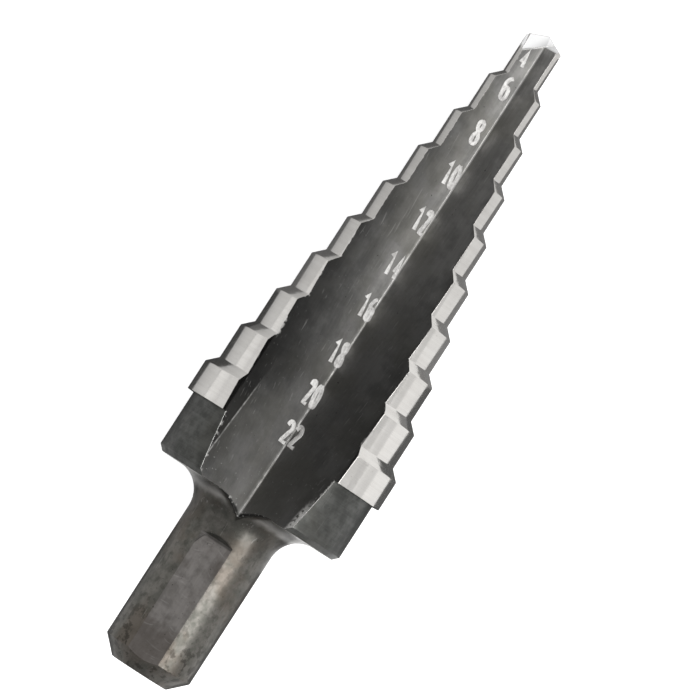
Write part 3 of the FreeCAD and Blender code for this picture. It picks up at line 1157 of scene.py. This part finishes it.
    def true_normal(self, point: Vector, facet: Vector, zone: Zone) -> Vector:
        """The normal of the drill's own round surface at a point of one of its facets.

        Args:
            point: The point in the upright frame, in millimetres.
            facet: The facet's normal.
            zone: The facet's zone.

        Returns:
            The surface's normal.
        """
        if zone is Zone.FLUTE:
            return self.flute.normal(point, facet)
        radial = Vector((point.x, point.y, 0.0)).normalized()
        level = math.hypot(facet.x, facet.y)
        is_round = zone in (Zone.STEP, Zone.COLLAR, Zone.SHANK)
        if not is_round or facet.dot(radial) < 0.98 * level:
            return facet
        o = self.outline
        if zone is Zone.SHANK and point.z > o.neck_foot - self.hair and facet.z < -0.001:
            ring = radial * (o.shank_radius + o.neck_radius) + Vector((0.0, 0.0, o.neck_foot))
            if abs((ring - point).length - o.neck_radius) < 10 * self.hair:
                return (ring - point).normalized()
        return radial * level + Vector((0.0, 0.0, facet.z))


@dataclass(frozen=True)
class StepNumber:
    """One etched number.

    Attributes:
        text: Its digits.
        along: Its middle along the drill, in millimetres.
        beside: Its middle left of the axis as seen from above, in millimetres.
        width: Its width as seen from above, in millimetres.
        height: Its height along the drill, in millimetres.
    """

    text: str
    along: float
    beside: float
    width: float = 1.6
    height: float = 2.8


@dataclass
class StepNumbers:
    """The etched diameters of the steps, in a row beside the upper flute's root.

    Attributes:
        lie: How the drill lies.
        stroke: Width of a stroke, in millimetres.
        lean: Shift of a digit's foot to the right, as a share of its height.
        depth: How far the strokes stand out of the flute, in millimetres.
    """

    lie: Lie
    stroke: float = 0.42
    lean: float = 0.09
    depth: float = 0.014

    NUMBERS = (
        StepNumber("4", 70.35, 0.85, 0.85, 2.2), StepNumber("6", 67.0, 0.76, 0.95),
        StepNumber("8", 61.8, 0.81, 0.95), StepNumber("10", 57.0, 0.69),
        StepNumber("12", 51.7, 0.67), StepNumber("14", 46.6, 0.61),
        StepNumber("16", 41.8, 0.56), StepNumber("18", 36.5, 0.52),
        StepNumber("20", 31.8, 0.43), StepNumber("22", 27.4, 0.05, 1.95, 2.6),
    )
    # Points of each digit's stroke in a unit cell, and whether the stroke turns sharply there
    STROKES = {
        "0": ((0.5, 1, 0), (0, 0.75, 0), (0, 0.25, 0), (0.5, 0, 0), (1, 0.25, 0), (1, 0.75, 0),
              (0.5, 1, 0)),
        "1": ((0, 0.78, 1), (0.6, 1, 1), (0.6, 0, 1)),
        "2": ((0, 0.78, 0), (0.45, 1, 0), (1, 0.76, 0), (0.6, 0.42, 0), (0, 0, 1), (1, 0, 1)),
        "4": ((0.75, 0, 1), (0.75, 1, 1), (0, 0.3, 1), (1, 0.3, 1)),
        "6": ((0.9, 0.95, 0), (0.3, 0.85, 0), (0, 0.35, 0), (0.5, 0, 0), (1, 0.27, 0),
              (0.5, 0.52, 0), (0.05, 0.3, 0)),
        "8": ((0.5, 0.53, 0), (0.06, 0.77, 0), (0.5, 1, 0), (0.94, 0.77, 0), (0.5, 0.53, 0),
              (0, 0.26, 0), (0.5, 0, 0), (1, 0.26, 0), (0.5, 0.53, 0)),
    }

    def build(self, surface: BVHTree, view: "View") -> list[bpy.types.Object]:
        """Make every number and lay it on the flute's walls, as seen from the camera's place."""
        return [self.lay(number, self.draw(number), surface, view) for number in self.NUMBERS]

    def draw(self, number: StepNumber) -> bpy.types.Mesh:
        """Draw a number's strokes as round beads about the origin, in millimetres.

        Args:
            number: The number.

        Returns:
            Its mesh.
        """
        curve = bpy.data.curves.new("strokes", "CURVE")
        curve.dimensions = "3D"
        curve.bevel_depth = self.stroke / 2
        curve.bevel_resolution = 2
        curve.use_fill_caps = True
        curve.resolution_u = 5
        count = len(number.text)
        pitch = number.width / count
        cell = pitch - self.stroke
        tall = number.height - self.stroke
        for order, digit in enumerate(number.text):
            left = (order - (count - 1) / 2) * pitch - cell / 2
            strokes = self.STROKES[digit]
            points = curve.splines.new("BEZIER").bezier_points
            points.add(len(strokes) - 1)
            for point, (x, y, sharp) in zip(points, strokes):
                rise = (y - 0.5) * tall
                point.co = (left + x * cell - rise * self.lean, rise, 0.0)
                point.handle_left_type = point.handle_right_type = "VECTOR" if sharp else "AUTO"
        source = show("strokes", curve)
        bpy.context.view_layer.update()
        data = bpy.data.meshes.new_from_object(source)
        bpy.data.objects.remove(source)
        return data

    def lay(self, number: StepNumber, data: bpy.types.Mesh, surface: BVHTree,
            view: "View") -> bpy.types.Object:
        """Lay a drawn number on the flute's walls, half sunk into them.

        Args:
            number: The number.
            data: Its mesh.
            surface: The drill's surface in the row frame.
            view: The camera's place.

        Returns:
            The number's object.
        """
        mesh = bmesh.new()
        mesh.from_mesh(data)
        right, _, _ = view.drill_frame()
        matrix = self.lie.matrix()
        eye = view.position()
        for vertex in mesh.verts:
            out = (vertex.co.z / self.stroke * 2 + 0.5) * self.depth * MM
            spot = matrix @ Vector((0, 0, number.along + vertex.co.y))
            spot += right * (vertex.co.x - number.beside) * MM
            hit, normal, _, _ = surface.ray_cast(eye, (spot - eye).normalized())
            vertex.co = hit + normal * out
        bmesh.ops.recalc_face_normals(mesh, faces=mesh.faces)
        for face in mesh.faces:
            face.smooth = True
        mesh.to_mesh(data)
        mesh.free()
        data.name = f"number_{int(number.text):02d}"
        return show(data.name, data)


@dataclass(frozen=True)
class View:
    """The camera, which looks into the upper flute from a little behind the middle.

    Attributes:
        lie: How the drill lies.
        distance: From the drill's axis to the camera, in millimetres.
        foot: Height along the drill that the camera stands straight over, in millimetres.
        target: Height along the drill at the picture's centre, in millimetres.
        beside: The picture's centre right of the drill's axis, point up, in millimetres.
        lean: Turn of the camera from the flute's middle about the axis, in degrees.
        rise: Angle of the drill in the picture, from level to its point, in degrees.
        frame_width: Width of the picture at the drill's axis, in millimetres.
        sensor: Width of the camera's sensor, in millimetres.
    """

    lie: Lie
    distance: float = 680.0
    foot: float = 15.0
    target: float = 37.33
    beside: float = 0.24
    lean: float = 3.5
    rise: float = 57.16
    frame_width: float = 67.88
    sensor: float = 36.0

    def drill_frame(self) -> tuple[Vector, Vector, Vector]:
        """Give the drill's directions in the row frame.

        Returns:
            Directions right of the drill, along it and towards the camera.
        """
        turn = self.lie.turn()
        angle = math.radians(self.lean)
        towards = turn @ Vector((-math.sin(angle), math.cos(angle), 0.0))
        axis = turn @ Vector((0.0, 0.0, 1.0))
        return axis.cross(towards), axis, towards

    def position(self) -> Vector:
        """The camera's place in the row frame, in metres."""
        foot = self.lie.matrix() @ Vector((0.0, 0.0, self.foot))
        return foot + self.drill_frame()[2] * self.distance * MM

    def build(self) -> None:
        """Make the camera and set it as the scene's."""
        right, axis, _ = self.drill_frame()
        place = self.position()
        target = self.lie.matrix() @ Vector((0.0, 0.0, self.target)) + right * self.beside * MM
        back = (place - target).normalized()
        angle = math.radians(self.rise)
        along = (axis - back * axis.dot(back)).normalized()
        across = along * math.cos(angle) + along.cross(back) * math.sin(angle)
        turn = Matrix((across, back.cross(across), back)).transposed().to_4x4()
        data = bpy.data.cameras.new("camera")
        data.sensor_width = self.sensor
        data.lens = self.sensor * (place - target).length / (self.frame_width * MM)
        camera = show("camera", data)
        camera.matrix_world = Matrix.Translation(place) @ turn
        bpy.context.scene.camera = camera


@dataclass(frozen=True)
class Softbox:
    """A soft light that faces the drill's middle, its length along the drill.

    Attributes:
        right: Angle right of the camera round the drill, in degrees.
        front: Angle towards the drill's point, in degrees.
        distance: Its distance, in metres.
        width: Its width across the drill, in metres.
        length: Its length along the drill, in metres.
        radiance: Brightness of its face.
    """

    right: float = 44.5
    front: float = -1.0
    distance: float = 0.6
    width: float = 0.34
    length: float = 0.7
    radiance: float = 4.0

    def build(self, view: View) -> None:
        """Make the light.

        Args:
            view: The camera's view, which the angles are measured from.
        """
        right, axis, towards = view.drill_frame()
        turn, rise = math.radians(self.right), math.radians(self.front)
        level = towards * math.cos(turn) + right * math.sin(turn)
        way = level * math.cos(rise) + axis * math.sin(rise)
        along = (axis - way * axis.dot(way)).normalized()
        data = bpy.data.lights.new("key", "AREA")
        data.shape = "RECTANGLE"
        data.size = self.width
        data.size_y = self.length
        data.energy = self.radiance * math.pi * self.width * self.length
        light = show("key", data)
        turned = Matrix((along.cross(way), along, way)).transposed().to_4x4()
        light.matrix_world = Matrix.Translation(way * self.distance) @ turned
        light.visible_camera = False


def stage_piece(name: str, mesh: bmesh.types.BMesh, grey: float) -> bpy.types.Object:
    """Turn a mesh into a matt grey object of the stage.

    Args:
        name: The object's name, which its material shares.
        mesh: The mesh, which is freed.
        grey: How pale it is.

    Returns:
        The object.
    """
    data = bpy.data.meshes.new(name)
    mesh.to_mesh(data)
    mesh.free()
    material = bpy.data.materials.new(name)
    material.use_nodes = True
    shader = material.node_tree.nodes["Principled BSDF"].inputs
    shader["Base Color"].default_value = (grey, grey, grey, 1.0)
    shader["Roughness"].default_value = 1.0
    shader["Specular IOR Level"].default_value = 0.0
    data.materials.append(material)
    piece = show(name, data)
    return piece


@dataclass(frozen=True)
class Card:
    """A flat card that only the steel's reflections show.

    Attributes:
        name: Its name.
        grey: How pale it is.
        place: Its origin in the row frame, in metres.
        rows: Places along it and its reach to the left and the right there, in metres.
        tilt: Its turns about X and about Y from lying level, in degrees.
    """

    name: str
    grey: float
    place: Triple
    rows: tuple[Triple, ...]
    tilt: Pair = (0.0, 0.0)

    def build(self) -> None:
        """Make the card."""
        mesh = bmesh.new()
        bmesh.ops.create_grid(mesh, x_segments=len(self.rows) - 1, y_segments=1, size=1.0)
        ends = sorted(mesh.verts, key=lambda vertex: vertex.co.x)
        for order, (along, left, right) in enumerate(self.rows):
            for vertex in ends[2 * order:2 * order + 2]:
                vertex.co = (along, left if vertex.co.y > 0 else right, 0.0)
        turn = Euler((*map(math.radians, self.tilt), 0.0)).to_matrix().to_4x4()
        matrix = Matrix.Translation(self.place) @ turn
        bmesh.ops.transform(mesh, matrix=matrix, verts=mesh.verts)
        card = stage_piece(self.name, mesh, self.grey)
        for ray in ("camera", "diffuse", "shadow", "transmission", "volume_scatter"):
            setattr(card, "visible_" + ray, False)


def oblong(length: float, width: float) -> tuple[Triple, Triple]:
    """Rows of an oblong card, from half its length and half its width."""
    return (-length, width, -width), (length, width, -width)


@dataclass
class Studio:
    """A pale floor, soft light, and cards that only the steel's reflections show.

    Attributes:
        view: The camera's view.
        floor_size: Width of the floor, in metres.
        floor_grey: How pale the floor is.
        floor_glow: Light from under the floor that the camera sees.
        sky: Ramp over the height of a direction for the surroundings' brightness.
    """

    view: View
    floor_size: float = 4.0
    floor_grey: float = 0.93
    floor_glow: float = 0.6
    sky: Ramp = (0.0, 0.8, 0.87, 0.72)

    # Dark cards under the drill are painted shade that the steel reflects; pale ones lie beside and
    # behind it
    UNDER = (0.0, 0.0, 0.0003)
    CARDS = (
        Card("shank_card", 0.11, UNDER, ((-0.045, 0.0145, -0.0145), (-0.0235, 0.0155, -0.0155))),
        Card("step_card", 0.11, UNDER, ((-0.0185, 0.0195, -0.0195), (-0.0075, 0.0200, -0.0200),
                                        (0.0010, 0.0170, -0.0165))),
        Card("front_card", 0.24, UNDER, ((0.0010, 0.0170, -0.0165), (0.0350, 0.0038, -0.0034))),
        # The grey card left of the drill is painted shade, for the key light's shadow there as the
        # steel reflects it
        Card("left_card", 0.68, (-0.012, 0.026, 0.0001), oblong(0.058, 0.021)),
        Card("left_edge", 0.48, (-0.012, 0.049, 0.0001), oblong(0.058, 0.0018)),
        Card("rear_card", 0.48, (-0.21, -0.03, 0.125), oblong(0.12, 0.30), (0.0, 90.0)),
        Card("right_card", 0.68, (0.03, -0.35, 0.025), oblong(0.12, 0.03), (90.0, 0.0)),
        Card("far_card", 0.68, (0.03, -0.20, 0.0001), oblong(0.12, 0.15)),
    )

    def build(self) -> None:
        """Build the whole studio."""
        self.floor()
        self.surroundings()
        Softbox().build(self.view)
        for card in self.CARDS:
            card.build()
        settings = bpy.context.scene.view_settings
        settings.view_transform = "Standard"
        settings.look = "None"

    def floor(self) -> None:
        """Lay the pale floor under the drill. It glows like a light table, for the camera only."""
        mesh = bmesh.new()
        bmesh.ops.create_grid(mesh, x_segments=1, y_segments=1, size=self.floor_size / 2)
        tree = stage_piece("floor", mesh, self.floor_grey).data.materials[0].node_tree
        net = Wiring(tree)
        shader = tree.nodes["Principled BSDF"].inputs
        seen = net.add("ShaderNodeLightPath").outputs["Is Camera Ray"]
        net.join(net.blend(seen, BLACK, (self.floor_glow,) * 3), shader["Emission Color"])
        shader["Emission Strength"].default_value = 1.0

    def surroundings(self) -> None:
        """Surround the drill with white that is brightest at the level of the floor."""
        world = bpy.data.worlds.new("studio")
        world.use_nodes = True
        world.node_tree.nodes.clear()
        bpy.context.scene.world = world
        net = Wiring(world.node_tree)
        height = net.parts(net.add("ShaderNodeTexCoord").outputs["Generated"])[2]
        seen = net.add("ShaderNodeLightPath").outputs["Is Camera Ray"]
        strength = net.most(net.ramp(height, *self.sky), seen)
        inputs = {"Color": (1, 1, 1, 1), "Strength": strength}
        background = net.add("ShaderNodeBackground", inputs)
        net.add("ShaderNodeOutputWorld", {0: background.outputs[0]})


def finishes(groups: EffectGroups) -> dict[Zone, bpy.types.Material]:
    """Make the finish of each kind of surface.

    Args:
        groups: The shared groups.

    Returns:
        The materials by zone.
    """
    # The shank's rubbed colour also paints the highlight on the ring by the collar
    shank = {"stain_share": 0.6, "patch": 0.8, "rubbed": (0.88, 0.87, 0.85),
             "scratch_share": 0.07, "speck_share": 0.0, "pit_share": 0.3}
    kinds = {
        # The steps' painted highlight is a near-white at the smallest step's tip
        Zone.STEP: GroundSteel("ground_steel", glare=(0.95, 0.95, 0.95)),
        # The point is painted all over with the highlight's near-white
        Zone.POINT: GroundSteel(
            "ground_point", roughness=(0.5, 0.4), glare_start=(60.0, 61.0), glare_side=-9.0),
        Zone.FLUTE: FluteOxide(
            "oxide_flute", dark=(0.0510, 0.0503, 0.0486), light=(0.0870, 0.0855, 0.0826),
            rubbed=(0.62, 0.61, 0.59), scratch_share=0.08, speck_share=0.0),
        Zone.COLLAR: BlackOxide(
            "oxide_collar", dark=(0.042, 0.043, 0.040), light=(0.094, 0.095, 0.090), patch=0.7,
            stretch=(0.15, 0.15, 5.0), scratch_share=0.08, speck_share=0.0),
        Zone.SHANK: ShankOxide(
            "oxide_shank", dark=(0.078, 0.078, 0.068), light=(0.156, 0.147, 0.134),
            stain=(0.104, 0.085, 0.069), stretch=(3.0, 3.0, 2.0), relief=0.004,
            roughness=(0.38, 0.29), **shank),
        # The flats are painted paler than the shank for the light from above
        Zone.FLAT: FlatOxide(
            "oxide_flat", dark=(0.125, 0.117, 0.11), light=(0.225, 0.212, 0.202),
            stain=(0.078, 0.066, 0.058), roughness=(0.42, 0.33), scratch=(0.35, 0.35, 4.0),
            scratch_level=0.6, bend=2.5, **shank),
        Zone.EDGE: GroundSteel(
            "rubbed_edge", light=(0.5, 0.49, 0.48), dark=(0.2, 0.2, 0.19), glare_side=9.0),
    }
    return {zone: kind.make(groups) for zone, kind in kinds.items()}


def main() -> None:
    """Build the drill, its numbers, the studio and the camera, and dress them."""
    logging.basicConfig(level=logging.INFO, format="%(message)s")
    lie, outline, flute = Lie(), Outline(), FluteForm()
    groups = EffectGroups(lie, outline, flute)
    view = View(lie)
    body = DrillBody(lie, outline, flute).build()
    materials = finishes(groups)
    for zone in Zone:
        body.data.materials.append(materials[zone])
    solid = bmesh.new()
    solid.from_mesh(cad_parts[NODE].data)
    surface = BVHTree.FromBMesh(solid)
    solid.free()
    numbers = StepNumbers(lie).build(surface, view)
    mark = EtchedMark().make(groups)
    for number in numbers:
        number.data.materials.append(mark)
    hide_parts(NODE)
    for piece in (body, *numbers):
        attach(piece, BODY)
        LOG.info("built %s with %d faces", piece.name, len(piece.data.polygons))
    Studio(view).build()
    view.build()


if __name__ == "__main__":
    main()
